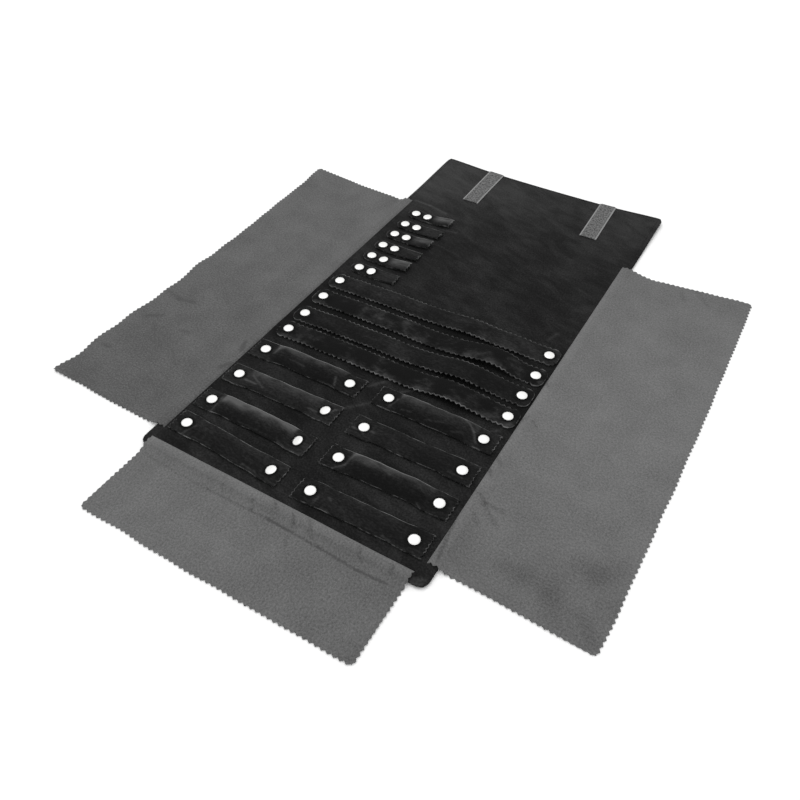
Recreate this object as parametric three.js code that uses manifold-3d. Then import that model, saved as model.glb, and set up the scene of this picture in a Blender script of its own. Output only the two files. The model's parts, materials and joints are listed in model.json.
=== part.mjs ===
// Velvet jewelry roll laid open: a padded panel, cloth flaps sewn to both sides and the foot,
// rows of straps with snaps, and a closing end with hook tapes. Millimetres, +Z up, lining upwards.
// Lengths along Y start at the foot flap's seam and lengths along X at the panel's middle.
// The finished roll is then centred over its own outline.

import * as THREE from "three";
import { mergeVertices } from "three/addons/utils/BufferGeometryUtils.js";
import Module from "manifold-3d";

const wasm = await Module();
wasm.setup();

// Panel: outer cover, padding and lining, with the closing end past a fold line
const panelWidth = 300;
const panelLength = 600;
const closingLength = 112;
const foldGap = 0.3;
const footCornerRadius = 9;
const headCornerRadius = 5;
const coverThickness = 1.2;
const paddingThickness = 2.2;
const liningThickness = 0.9;
const layerGap = 0.1;
const hemWidth = 1.6;
const paddingClearance = 0.4;

// Flaps, each measured from its seam to its pinked edge
const leftFlapWidth = 153;
const rightFlapWidth = 147;
const footFlapWidth = 91;
const footFlapOffset = -3.3;
const flapThickness = 1;
const flapMargin = 10;
const flapDropRun = 0.6;
const flapEndClearance = 3;
const sideFlapStart = 12.5;
const footFlapClearance = 1;
const flapToothPitch = 5.5;
const flapToothDepth = 2;

// Hook tapes on the closing end, and the loop tapes on the back that they grip
const tapeWidth = 21;
const tapeLength = 84;
const tapeThickness = 1.8;
const tapeSpacing = 156;
const tapeHeadInset = 1;
const tapeCornerRadius = 1;
const loopTapeMiddle = 245;
const loopTapeThickness = 0.8;

// Straps and the snaps that hold them
const strapThickness = 1.5;
const strapLift = 1.5;
const strapToothDepth = 1.2;
const hingeCut = 0.3;
const snapHingeOffset = 9.5;
const capRadius = 5.5;
const capHeight = 1.8;
const capRim = 0.6;
const socketRadius = 5;
const studHeight = 0.6;
const snapSides = 12;
const sunk = 0.2;

// Bracelet straps, in two columns, arched between flat end tabs
const braceletRows = 4;
const braceletWidth = 26.5;
const braceletRowGap = 14.7;
const braceletLeftClearance = 3;
const braceletRightClearance = 5.2;
const braceletColumnGap = 15.8;
const braceletSnapInset = 13.5;
const braceletToothPitch = 3.3;
const braceletRise = 5;
const braceletRamp = 26;

// Ring bars, across the whole panel, slack between their ends
const barRows = 4;
const barWidth = 26;
const barRowGap = 6.5;
const barLeftClearance = 6.4;
const barRightClearance = 1.6;
const barSnapInset = 10.5;
const barCornerRadius = 9;
const barToothPitch = 5.5;
const barRest = 0.4;
const barRamp = 24;
const barHumpHeight = 4.5;
const barHumpReach = 24;
const barHumpFromEnd = 78;

// Necklace straps, with two snaps close together and a loose tail
const necklaceRows = 6;
const necklaceWidth = 18;
const necklaceLength = 60;
const necklaceRowGap = 8.1;
const necklaceSeamClearance = 12;
const necklaceSnapInset = 10;
const necklaceSnapSpacing = 16;
const necklaceToothPitch = 3.6;
const necklaceTailRise = 3;

// Clear lengths along the panel that the rows of straps leave
const firstRowStart = 9.5;
const braceletToBarGap = 11.2;
const barToNecklaceGap = 7.5;
const necklaceToFoldGap = 27.7;

// What touches keeps this clearance
const seatGap = 0.3;

// Faceting
const cornerSteps = 2;
const mergeDistance = 1e-4;

// Levels and lines that follow from the sizes above
const liningBottom = coverThickness + paddingThickness + 2 * layerGap;
const liningTop = liningBottom + liningThickness;
const footEdge = -flapMargin;
const headEdge = footEdge + panelLength;
const foldLine = headEdge - closingLength;
const sideSeam = panelWidth / 2 - flapMargin;

const velvet = () => new THREE.MeshStandardMaterial({ color: 0x1d1d1f, roughness: 0.95 });
const suede = () => new THREE.MeshStandardMaterial({ color: 0x66666a, roughness: 0.9 });
const foam = () => new THREE.MeshStandardMaterial({ color: 0xd8d4c8, roughness: 0.9 });
const pileTape = () => new THREE.MeshStandardMaterial({ color: 0x8c8c8e, roughness: 0.85 });

// A closed geometry as a solid that can be joined and cut
function solidOf(geometry) {
  geometry.deleteAttribute("normal");
  geometry.deleteAttribute("uv");
  const merged = mergeVertices(geometry, mergeDistance);
  const corners = merged.index.array;
  const triangles = [];
  for (let i = 0; i < corners.length; i += 3) {
    const [a, b, c] = corners.slice(i, i + 3);
    if (a !== b && b !== c && c !== a) {
      triangles.push(a, b, c);
    }
  }
  const mesh = new wasm.Mesh({
    numProp: 3,
    vertProperties: merged.attributes.position.array,
    triVerts: Uint32Array.from(triangles),
  });
  return new wasm.Manifold(mesh);
}

// Adds a solid to a group as a named piece
function addPiece(group, name, solid, material) {
  const { vertProperties, triVerts } = solid.getMesh();
  const geometry = new THREE.BufferGeometry();
  geometry.setAttribute("position", new THREE.BufferAttribute(vertProperties, 3));
  geometry.setIndex(new THREE.BufferAttribute(triVerts, 1));
  geometry.computeVertexNormals();
  const mesh = new THREE.Mesh(geometry, material);
  mesh.name = name;
  group.add(mesh);
}

// A flat plate of an outline, between two levels
function plate(outline, bottom, top) {
  const geometry = new THREE.ExtrudeGeometry(outline, { depth: top - bottom, bevelEnabled: false });
  return solidOf(geometry.translate(0, 0, bottom));
}

// A side profile in X and Z, drawn out along Y over a width centred on the X axis
function drawnOut(profile, width) {
  const geometry = new THREE.ExtrudeGeometry(profile, { depth: width, bevelEnabled: false });
  return solidOf(geometry.rotateX(Math.PI / 2).translate(0, width / 2, 0));
}

// A rectangle whose two foot corners and two head corners are rounded where a radius is given
function roundedRectangle(left, right, bottom, top, bottomRadius, topRadius) {
  const shape = new THREE.Shape();
  const quarter = Math.PI / 2;
  const corner = (x, y, radius, turn) => {
    if (radius > 0) {
      shape.absarc(x, y, radius, (turn - 1) * quarter, turn * quarter);
    } else {
      shape.lineTo(x, y);
    }
  };
  shape.moveTo(left + bottomRadius, bottom);
  corner(right - bottomRadius, bottom + bottomRadius, bottomRadius, 0);
  corner(right - topRadius, top - topRadius, topRadius, 1);
  corner(left + topRadius, top - topRadius, topRadius, 2);
  corner(left + bottomRadius, bottom + bottomRadius, bottomRadius, 3);
  return new THREE.Shape(shape.getPoints(cornerSteps));
}

// Points of a pinked edge up to its last notch: teeth reach the line and notches lie inside it
function pinkedEdge(from, to, pitch, depth) {
  const run = to.clone().sub(from);
  const teeth = Math.round(run.length() / pitch);
  const inward = new THREE.Vector2(-run.y, run.x).setLength(depth);
  const points = [];
  for (let i = 0; i < teeth; i += 1) {
    points.push(from.clone().addScaledVector(run, i / teeth));
    points.push(from.clone().addScaledVector(run, (i + 0.5) / teeth).add(inward));
  }
  return points;
}

// A round piece standing on the XY plane, from its half section
function turned(section) {
  const points = section.map(([radius, height]) => new THREE.Vector2(radius, height));
  return solidOf(new THREE.LatheGeometry(points, snapSides).rotateX(Math.PI / 2));
}

function disc(radius, bottom, top) {
  return turned([[0, bottom], [radius, bottom], [radius, top], [0, top]]);
}

// The domed cap of a snap, sunk a little into the strap that it is pressed through
function snapCap(level) {
  const bottom = level - sunk;
  const shoulder = level + capRim;
  const top = level + capHeight;
  const crown = [0.8 * capRadius, level + 0.75 * capHeight];
  return turned([[0, bottom], [capRadius, bottom], [capRadius, shoulder], crown, [0, top]]);
}

// Rows of straps from the foot to the fold. Their gaps take up the length that the rows leave.
function placeRows() {
  const rows = [];
  const list = (kind, count, width, gap, gapAfter) => {
    for (let row = 1; row <= count; row += 1) {
      rows.push({ kind, row, width, gap: row < count ? gap : gapAfter });
    }
  };
  list("bracelet", braceletRows, braceletWidth, braceletRowGap, braceletToBarGap);
  list("bar", barRows, barWidth, barRowGap, barToNecklaceGap);
  list("necklace", necklaceRows, necklaceWidth, necklaceRowGap, necklaceToFoldGap);
  const widths = rows.reduce((sum, { width }) => sum + width, 0);
  const gaps = rows.reduce((sum, { gap }) => sum + gap, 0);
  const stretch = (foldLine - firstRowStart - widths) / gaps;
  let start = firstRowStart;
  for (const place of rows) {
    place.middle = start + place.width / 2;
    start += place.width + place.gap * stretch;
  }
  return rows;
}

// Straps are drawn from their fixed end, at the origin, along X, and stand on the lining.

const smooth = (from, to, value) => THREE.MathUtils.smoothstep(value, from, to);

function braceletStrap() {
  const clearances = braceletLeftClearance + braceletRightClearance + braceletColumnGap;
  const length = sideSeam - clearances / 2;
  const snaps = [braceletSnapInset, length - braceletSnapInset];
  const hinge = braceletSnapInset + snapHingeOffset;
  const half = braceletWidth / 2;
  const corners = [[0, half], [0, -half], [length, -half], [length, half]];
  const [headStart, footStart, footEnd, headEnd] = corners.map(([x, y]) => new THREE.Vector2(x, y));
  const outline = new THREE.Shape([
    ...pinkedEdge(headStart, footStart, braceletToothPitch, strapToothDepth),
    footStart,
    ...pinkedEdge(footEnd, headEnd, braceletToothPitch, strapToothDepth),
    headEnd,
  ]);
  const tab = hinge + hingeCut;
  const arch = (along) => smooth(tab, tab + braceletRamp, along);
  const level = (along) => strapLift + braceletRise * arch(along) * arch(length - along);
  return { length, width: braceletWidth, snaps, hinge, outline, level, step: 6 };
}

function ringBar() {
  const length = 2 * sideSeam - barLeftClearance - barRightClearance;
  const snaps = [barSnapInset, length - barSnapInset];
  const hinge = barSnapInset + snapHingeOffset;
  const half = barWidth / 2;
  const straightEnd = length - barCornerRadius;
  const footStart = new THREE.Vector2(barCornerRadius, -half);
  const footEnd = new THREE.Vector2(straightEnd, -half);
  const headEnd = new THREE.Vector2(straightEnd, half);
  const headStart = new THREE.Vector2(barCornerRadius, half);
  const plain = roundedRectangle(0, length, -half, half, barCornerRadius, barCornerRadius);
  const isFreeEnd = ({ x }) => x > straightEnd;
  const isFixedEnd = ({ x }) => x < barCornerRadius;
  const outline = new THREE.Shape([
    ...pinkedEdge(footStart, footEnd, barToothPitch, strapToothDepth),
    footEnd,
    ...plain.getPoints().filter(isFreeEnd),
    ...pinkedEdge(headEnd, headStart, barToothPitch, strapToothDepth),
    headStart,
    ...plain.getPoints().filter(isFixedEnd),
  ]);
  const tab = hinge + hingeCut;
  const slack = (along) => smooth(tab, tab + barRamp, along) * smooth(tab, tab + barRamp, length - along);
  const hump = (along) => Math.exp(-(((length - barHumpFromEnd - along) / barHumpReach) ** 2));
  const level = (along) => strapLift + slack(along) * (barRest - strapLift + barHumpHeight * hump(along));
  return { length, width: barWidth, snaps, hinge, outline, level, step: 10 };
}

function necklaceStrap() {
  const length = necklaceLength;
  const snaps = [necklaceSnapInset, necklaceSnapInset + necklaceSnapSpacing];
  const hinge = necklaceSnapInset + necklaceSnapSpacing / 2;
  const half = necklaceWidth / 2;
  const footEnd = new THREE.Vector2(length, -half);
  const headEnd = new THREE.Vector2(length, half);
  const tip = new THREE.Path().absarc(half, 0, half, Math.PI / 2, 1.5 * Math.PI);
  const outline = new THREE.Shape([
    ...tip.getPoints(6),
    ...pinkedEdge(footEnd, headEnd, necklaceToothPitch, strapToothDepth),
    headEnd,
  ]);
  const tail = snaps[1] + capRadius;
  const level = (along) => strapLift + necklaceTailRise * smooth(tail, length, along);
  return { length, width: necklaceWidth, snaps, hinge, outline, level, step: 7 };
}

// The side profile of a strap: its underside runs at the strap's own level over the lining
function strapProfile({ length, hinge, level, step }) {
  const steps = Math.ceil((length - 2 * hinge) / step);
  const alongs = [0];
  for (let i = 0; i <= steps; i += 1) {
    alongs.push(hinge + ((length - 2 * hinge) * i) / steps);
  }
  alongs.push(length);
  const underside = alongs.map((along) => new THREE.Vector2(along, level(along)));
  const top = alongs.map((along) => new THREE.Vector2(along, level(along) + strapThickness));
  return new THREE.Shape([...underside, ...top.reverse()]);
}

// One strap, parted at the line where it bends: its fixed end with a snap that stays closed, and
// the free length with the snap that opens
function addStrap(group, name, anchorName, strap) {
  const { length, width, snaps, hinge, outline, level } = strap;
  const highest = strapLift + braceletRise + barHumpHeight + necklaceTailRise + strapThickness;
  const cloth = drawnOut(strapProfile(strap), width + 1).intersect(plate(outline, 0, highest));
  const within = (from, to) => plate(roundedRectangle(from, to, -width, width, 0, 0), -1, highest + 1);
  const snap = (at, bottom) => {
    const cap = snapCap(level(at) + strapThickness);
    return cap.add(disc(socketRadius, bottom, level(at) + sunk)).translate([at, 0, 0]);
  };
  const fixedEnd = cloth.intersect(within(-1, hinge - hingeCut / 2)).add(snap(snaps[0], seatGap));
  const freeSnap = snap(snaps[1], studHeight + seatGap);
  const freeLength = cloth.intersect(within(hinge + hingeCut / 2, length + 1)).add(freeSnap);
  addPiece(group, anchorName, fixedEnd, velvet());
  addPiece(group, name, freeLength, velvet());
}

// Every strap with the place of its fixed end and the way that it runs
function listStraps() {
  const kinds = { bracelet: braceletStrap(), bar: ringBar(), necklace: necklaceStrap() };
  const straps = [];
  for (const { kind, row, middle } of placeRows()) {
    const strap = kinds[kind];
    if (kind === "bracelet") {
      const left = braceletLeftClearance - sideSeam;
      const right = sideSeam - braceletRightClearance;
      straps.push({ strap, name: `bracelet_strap_left_${row}`, x: left, y: middle, turn: 0 });
      straps.push({ strap, name: `bracelet_strap_right_${row}`, x: right, y: middle, turn: Math.PI });
    } else if (kind === "bar") {
      straps.push({ strap, name: `ring_bar_${row}`, x: barLeftClearance - sideSeam, y: middle, turn: 0 });
    } else {
      const x = necklaceSeamClearance - sideSeam;
      straps.push({ strap, name: `necklace_strap_${row}`, x, y: middle, turn: 0 });
    }
  }
  return straps;
}

function addStraps(group) {
  for (const { strap, name, x, y, turn } of listStraps()) {
    const place = new THREE.Group();
    place.position.set(x, y, liningTop);
    place.rotation.z = turn;
    addStrap(place, name, `${name}_anchor`, strap);
    group.add(place);
  }
}

// The studs stand on the lining under every free strap end
function addStuds(lining) {
  let studded = lining;
  for (const { strap, x, y, turn } of listStraps()) {
    const stud = disc(socketRadius, liningTop - sunk, liningTop + studHeight);
    const reach = strap.snaps[1] * Math.cos(turn);
    studded = studded.add(stud.translate([x + reach, y, 0]));
  }
  return studded;
}

// A stretch of the panel's outline, drawn in by an inset on every side
function panelOutline(from, to, footRadius, headRadius, inset) {
  const half = panelWidth / 2 - inset;
  const drawnIn = (radius) => Math.max(radius - inset, 0);
  return roundedRectangle(
    -half, half, from + inset, to - inset, drawnIn(footRadius), drawnIn(headRadius),
  );
}

// Cover, padding and lining of one stretch of the panel. The cover's hem stands round the padding.
function panelLayers(outline) {
  const hemTop = liningBottom - layerGap;
  const hollow = plate(outline(hemWidth), coverThickness, liningBottom + 1);
  const cover = plate(outline(0), 0, hemTop).subtract(hollow);
  const bottom = coverThickness + layerGap;
  const padding = plate(outline(hemWidth + paddingClearance), bottom, bottom + paddingThickness - layerGap);
  const lining = plate(outline(0), liningBottom, liningTop);
  return { cover, padding, lining };
}

// The two places of a pair of tapes, left and right
const tapeSides = [["left", -tapeSpacing / 2], ["right", tapeSpacing / 2]];

function tapeOutline(x, middle, grown) {
  const half = tapeWidth / 2 + grown;
  const reach = tapeLength / 2 + grown;
  return roundedRectangle(
    x - half, x + half, middle - reach, middle + reach, tapeCornerRadius, tapeCornerRadius,
  );
}

function addMainPanel(group) {
  const end = foldLine - foldGap / 2;
  const outline = (inset) => panelOutline(footEdge, end, footCornerRadius, 0, inset);
  const layers = panelLayers(outline);
  let cover = layers.cover;
  for (const [side, x] of tapeSides) {
    // The loop tapes lie pressed into the cover, so that the back rests flat
    const bed = plate(tapeOutline(x, loopTapeMiddle, seatGap), -1, loopTapeThickness + layerGap);
    const tape = plate(tapeOutline(x, loopTapeMiddle, 0), 0, loopTapeThickness);
    cover = cover.subtract(bed);
    addPiece(group, `loop_tape_${side}`, tape, pileTape());
  }
  addPiece(group, "outer_cover", cover, velvet());
  addPiece(group, "padding", layers.padding, foam());
  addPiece(group, "lining", addStuds(layers.lining), velvet());
}

function addClosingEnd(group) {
  const start = foldLine + foldGap / 2;
  const outline = (inset) => panelOutline(start, headEdge, 0, headCornerRadius, inset);
  const layers = panelLayers(outline);
  addPiece(group, "closing_cover", layers.cover, velvet());
  addPiece(group, "closing_padding", layers.padding, foam());
  addPiece(group, "closing_lining", layers.lining, velvet());
  const middle = headEdge - tapeHeadInset - tapeLength / 2;
  const bottom = liningTop + layerGap;
  for (const [side, x] of tapeSides) {
    const tape = plate(tapeOutline(x, middle, 0), bottom, bottom + tapeThickness);
    addPiece(group, `hook_tape_${side}`, tape, pileTape());
  }
}

// A flap drawn from the middle of its seam along X: it lies on the panel's margin, drops over the
// edge and lies on the table, with three pinked edges
function flap(width, length) {
  const seat = liningTop + seatGap;
  const edge = flapMargin + seatGap;
  const foot = edge + flapDropRun;
  const underside = [[0, seat], [edge, seat], [foot, 0], [width, 0]];
  const lifted = ([x, z]) => [x + (x === edge || x === foot ? flapThickness : 0), z + flapThickness];
  const top = underside.map(lifted).reverse();
  const profile = new THREE.Shape([...underside, ...top].map(([x, z]) => new THREE.Vector2(x, z)));
  const half = length / 2;
  const corners = [[0, -half], [width, -half], [width, half], [0, half]];
  const [footSeam, footTip, headTip, headSeam] = corners.map(([x, y]) => new THREE.Vector2(x, y));
  const outline = new THREE.Shape([
    ...pinkedEdge(footSeam, footTip, flapToothPitch, flapToothDepth),
    ...pinkedEdge(footTip, headTip, flapToothPitch, flapToothDepth),
    ...pinkedEdge(headTip, headSeam, flapToothPitch, flapToothDepth),
    headSeam,
  ]);
  const sheet = drawnOut(profile, length + 1);
  return sheet.intersect(plate(outline, -1, seat + flapThickness + 1));
}

function addFlaps(group) {
  const sideLength = foldLine - flapEndClearance - sideFlapStart;
  const sideMiddle = sideFlapStart + sideLength / 2;
  const footLength = 2 * (sideSeam - footFlapClearance);
  const flaps = [
    ["left_flap", leftFlapWidth, sideLength, -sideSeam, sideMiddle, Math.PI],
    ["right_flap", rightFlapWidth, sideLength, sideSeam, sideMiddle, 0],
    ["foot_flap", footFlapWidth, footLength, footFlapOffset, 0, -Math.PI / 2],
  ];
  for (const [name, width, length, x, y, turn] of flaps) {
    const place = new THREE.Group();
    place.position.set(x, y, 0);
    place.rotation.z = turn;
    addPiece(place, name, flap(width, length), suede());
    group.add(place);
  }
}

const laid = new THREE.Group();
laid.position.set((leftFlapWidth - rightFlapWidth) / 2, (footFlapWidth - headEdge) / 2, 0);
addMainPanel(laid);
addClosingEnd(laid);
addFlaps(laid);
addStraps(laid);

const jewelryRoll = new THREE.Group();
jewelryRoll.add(laid);

export default jewelryRoll;
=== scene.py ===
"""A velvet jewelry roll that lies open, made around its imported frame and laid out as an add-on."""

import json
import math

import bmesh
import bpy
from mathutils import Matrix, Vector, noise


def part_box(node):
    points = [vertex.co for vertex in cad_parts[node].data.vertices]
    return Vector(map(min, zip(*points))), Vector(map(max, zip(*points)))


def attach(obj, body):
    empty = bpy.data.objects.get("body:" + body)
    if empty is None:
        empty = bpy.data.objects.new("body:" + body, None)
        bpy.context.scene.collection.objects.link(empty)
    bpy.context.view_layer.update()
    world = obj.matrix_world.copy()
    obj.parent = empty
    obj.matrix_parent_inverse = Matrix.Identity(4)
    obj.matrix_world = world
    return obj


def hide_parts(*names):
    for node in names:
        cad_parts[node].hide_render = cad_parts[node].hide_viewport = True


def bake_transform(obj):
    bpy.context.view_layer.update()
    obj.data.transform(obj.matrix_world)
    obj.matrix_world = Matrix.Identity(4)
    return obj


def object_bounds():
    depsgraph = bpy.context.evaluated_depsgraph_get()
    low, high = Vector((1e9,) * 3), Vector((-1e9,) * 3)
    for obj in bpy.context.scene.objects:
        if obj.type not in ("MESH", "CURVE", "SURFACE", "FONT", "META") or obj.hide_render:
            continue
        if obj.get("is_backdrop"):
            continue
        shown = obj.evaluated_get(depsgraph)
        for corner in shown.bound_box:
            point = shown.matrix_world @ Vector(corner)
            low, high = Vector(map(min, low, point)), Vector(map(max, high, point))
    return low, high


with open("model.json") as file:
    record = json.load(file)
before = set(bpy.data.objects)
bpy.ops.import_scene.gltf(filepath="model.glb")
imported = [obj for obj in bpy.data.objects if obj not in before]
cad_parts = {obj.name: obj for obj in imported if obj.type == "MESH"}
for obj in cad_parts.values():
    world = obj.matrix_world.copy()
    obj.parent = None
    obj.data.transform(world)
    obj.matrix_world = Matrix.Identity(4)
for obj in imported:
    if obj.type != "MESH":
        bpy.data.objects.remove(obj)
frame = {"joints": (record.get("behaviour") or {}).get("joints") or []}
CAD_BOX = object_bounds()

bl_info = {
    "name": "Jewelry roll",
    "version": (1, 0, 0),
    "blender": (4, 5, 0),
    "location": "View3D > Sidebar > Jewelry roll",
    "description": "Makes a velvet jewelry roll with cloth flaps, snap straps and closing tapes",
    "category": "Object",
}

MM = 0.001
UP = Vector((0, 0, 1))

# Places that come from the frame
HINGES = {joint["name"]: joint["pos_m"] for joint in frame["joints"]}
LINING_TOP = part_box("closing_lining")[1].z
PANEL_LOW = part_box("outer_cover")[0]
PANEL_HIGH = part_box("closing_cover")[1]
PANEL_MIDDLE = (PANEL_LOW.x + PANEL_HIGH.x) / 2
PANEL_HALF = (PANEL_HIGH.x - PANEL_LOW.x) / 2
FOOT_SEAM = HINGES["foot_flap_fold"][1]
FOLD_LINE = HINGES["closing_end_fold"][1]
BARS_FROM, BARS_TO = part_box("ring_bar_1")[0].y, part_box("ring_bar_4")[1].y
LOOP_TAPES = [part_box(f"loop_tape_{side}") for side in ("left", "right")]
BRACELETS = [f"bracelet_strap_{side}_{row}" for side in ("left", "right") for row in range(1, 5)]
RING_BARS = [f"ring_bar_{row}" for row in range(1, 5)]
NECKLACES = [f"necklace_strap_{row}" for row in range(1, 7)]


def linear(hex_colour):
    """An sRGB hex colour as linear red, green, blue and alpha."""
    channels = [int(hex_colour[i:i + 2], 16) / 255 for i in (1, 3, 5)]
    curve = [c / 12.92 if c <= 0.04045 else ((c + 0.055) / 1.055) ** 2.4 for c in channels]
    return (*curve, 1.0)


def size(name, description, millimetres):
    """A length that a user may change."""
    return bpy.props.FloatProperty(
        name=name, description=description, default=millimetres * MM,
        min=0.0, unit="LENGTH", precision=5,
    )


def colour(name, description, hex_colour):
    """A colour that a user may change."""
    return bpy.props.FloatVectorProperty(
        name=name, description=description, default=linear(hex_colour),
        subtype="COLOR", size=4, min=0.0, max=1.0,
    )


class RollSizes(bpy.types.PropertyGroup):
    """Sizes of the roll's cloth, edges and snaps."""

    lining_thickness: size("Lining", "Thickness of the velvet lining", 0.9)
    cover_thickness: size("Cover", "Thickness of the outer cover", 0.9)
    edge_roll: size("Edge roll", "Reach of the panel's rounded edge", 3.2)
    foot_corner: size("Foot corners", "Radius of the panel's two foot corners", 9)
    head_corner: size("Head corners", "Radius of the panel's two head corners", 8)
    head_draw: size("Head draw", "How far the head edge is drawn in at its middle", 4)
    corner_lift: size("Corner lift", "How far the head corners lift off the table", 2)
    stitch_inset: size("Stitch inset", "Distance from the panel's edge to its stitching", 5)
    stitch_length: size("Stitch length", "Length of one stitch of the edge stitching", 3.2)
    thread: size("Thread", "Thickness of the sewing thread", 0.5)
    flap_thickness: size("Flap cloth", "Thickness of the flaps' suede cloth", 0.9)
    flap_tooth: size("Flap teeth", "Pitch of the flaps' pinked edges", 5.5)
    flap_notch: size("Flap notches", "Depth of the flaps' pinked edges", 2)
    strap_thickness: size("Strap cloth", "Thickness of the straps' velvet", 1.3)
    strap_notch: size("Strap notches", "Depth of the straps' pinked edges", 2)
    cut_edge: size("Cut edge", "Width of the paler frayed line along a strap's cut edge", 0.5)
    cap_radius: size("Cap radius", "Radius of a snap's cap", 5.4)
    cap_height: size("Cap height", "Height of a snap's cap", 1.5)
    selvedge: size("Selvedge", "Width of the paler woven edge of a tape", 1.6)


class RollColours(bpy.types.PropertyGroup):
    """Colours of the roll's cloth, metal and stage."""

    velvet: colour("Velvet", "Velvet pile seen straight on", "#0b0b0b")
    # Also the colour that painted highlights on the straps' crests, lips and raised tails go towards
    brushed_and_lit: colour("Brushed velvet", "Velvet pile where handling has turned it over", "#505050")
    # Painted highlights along the straps' lips also go towards the cut edge's colour
    cut_edge: colour("Cut edge", "Velvet's woven ground at a cut edge", "#787878")
    # Painted shade at the flaps' turns and creases goes towards the suede colour, and the painted
    # highlight at their roots towards the pale suede
    suede: colour("Suede cloth", "Flaps' suede cloth", "#474747")
    suede_pale: colour("Pale suede", "Suede cloth where its nap is turned", "#747474")
    tape: colour("Tape pile", "Shaded parts of the tape's pile", "#2c2c2c")
    tape_pale: colour("Pale tape pile", "Lit tips of the tape's pile", "#7a7a7a")
    selvedge: colour("Selvedge", "Woven edge of the tape", "#868686")
    metal: colour("Snap metal", "Polished nickel of the snaps", "#f1f1ef")
    thread: colour("Thread", "Sewing thread", "#141414")
    foam: colour("Foam", "Padding between cover and lining", "#d8d4c8")
    floor: colour("Floor", "Floor under the roll", "#f6f6f6")


# Small shared tools

def smooth(start, end, value):
    """Rises smoothly from 0 at start to 1 at end."""
    t = min(max((value - start) / (end - start), 0.0), 1.0)
    return t * t * (3 - 2 * t)


def between(first, last, share):
    """A value this share of the way from the first to the last."""
    return first + (last - first) * share


def ripple(x, y, reach, seed=0.0):
    """Smooth unevenness from -1 to 1 whose waves reach about this far."""
    return noise.noise(Vector((x / reach, y / reach, seed)))


def grid_lines(start, end, step, *extra):
    """Even lines from start to end, with extra ones where a shape needs them."""
    count = max(round((end - start) / step), 1)
    even = [start + (end - start) * i / count for i in range(count + 1)]
    kept = [line for line in even if all(abs(line - other) > step / 3 for other in extra)]
    return sorted([*kept, *extra])


def notch(place, pitch, depth):
    """How far a pinked edge lies inside its line at a place along it."""
    phase = (place / pitch) % 1
    return depth * (1 - abs(1 - 2 * phase))


def bump(centre, reach, value):
    """A soft bump, 1 at its centre."""
    return math.exp(-(((value - centre) / reach) ** 2))


def creased(x, y, creases, reach):
    """How far creases change the tone at a point: turned pile on the lining, painted shade on the flaps,
    and turned pile with a painted highlight along the straps' folds. Each crease runs from one point to
    another and has its strength. The creases and their reach are in millimetres."""
    x, y = x / MM, y / MM
    turned = 0.0
    for x0, y0, x1, y1, strength in creases:
        run_x, run_y = x1 - x0, y1 - y0
        share = ((x - x0) * run_x + (y - y0) * run_y) / (run_x ** 2 + run_y ** 2)
        share = min(max(share, 0.0), 1.0)
        off = math.hypot(x - x0 - share * run_x, y - y0 - share * run_y)
        turned += strength * bump(0, reach, off)
    return turned


def rounded(x, y, radius):
    """Draws a corner square, measured from the arc's centre, in to a round corner."""
    if x <= 0 or y <= 0:
        return x, y
    u, v = x / radius, y / radius
    return x * math.sqrt(1 - v * v / 2), y * math.sqrt(1 - u * u / 2)


def add_piece(name, mesh, *materials):
    """Turns a bmesh into an object of its own."""
    data = bpy.data.meshes.new(name)
    mesh.to_mesh(data)
    mesh.free()
    for finish in materials:
        data.materials.append(finish)
    piece = bpy.data.objects.new(name, data)
    bpy.context.scene.collection.objects.link(piece)
    return piece


def shade(piece, sharp=40):
    """Smooth faces, with edges that turn more than an angle in degrees kept sharp."""
    piece.data.shade_smooth()
    piece.data.set_sharp_from_angle(angle=math.radians(sharp))
    return piece


def lay_sheet(columns, rows, flat, lie, is_border=None, nap=None):
    """A grid of cloth. flat gives each grid point's place on the flat cloth, which is kept as the
    UV map, and lie says where that flat point lies. Faces of the border take the second material.
    nap says how far the cloth is made paler there, below 0 for darker: for its turned pile and for
    painted highlights and painted shade."""
    mesh = bmesh.new()
    bmesh.ops.create_grid(mesh, x_segments=columns, y_segments=rows, size=0.5)
    flat_map = mesh.loops.layers.uv.new("flat")
    turned = mesh.verts.layers.float.new("nap")
    cells = {}
    for vert in mesh.verts:
        cells[vert] = (round((vert.co.x + 0.5) * columns), round((vert.co.y + 0.5) * rows))
    places = {vert: flat(*cell) for vert, cell in cells.items()}
    for face in mesh.faces:
        for loop in face.loops:
            loop[flat_map].uv = places[loop.vert]
        if is_border:
            corner = [min(cells[vert][axis] for vert in face.verts) for axis in (0, 1)]
            face.material_index = int(is_border(*corner))
    for vert, place in places.items():
        vert.co = lie(*place)
        vert[turned] = nap(*place) if nap else 0.0
    return mesh


def thicken(piece, thickness, rim_material=0):
    """Gives a laid sheet its thickness behind its face and keeps the result as its mesh. The back's pile
    is left as it is woven, with no turned patches and no painted highlights or shade."""
    on_face = len(piece.data.vertices)
    wall = piece.modifiers.new("thickness", "SOLIDIFY")
    wall.thickness = thickness
    wall.offset = -1
    wall.material_offset_rim = rim_material
    shown = piece.evaluated_get(bpy.context.evaluated_depsgraph_get())
    data = bpy.data.meshes.new_from_object(shown)
    piece.modifiers.clear()
    piece.data = data
    data.name = piece.name
    for turned in data.attributes["nap"].data[on_face:]:
        turned.value = 0.0
    return shade(piece)


def finish_cloth(piece, thickness, nodes, flat, rests_on, rim_material=0):
    """Thickens a laid sheet and hides the nodes that it stands for. Its cut and its hold are not used."""
    thicken(piece, thickness, rim_material)
    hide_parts(*nodes)


# Materials

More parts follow.
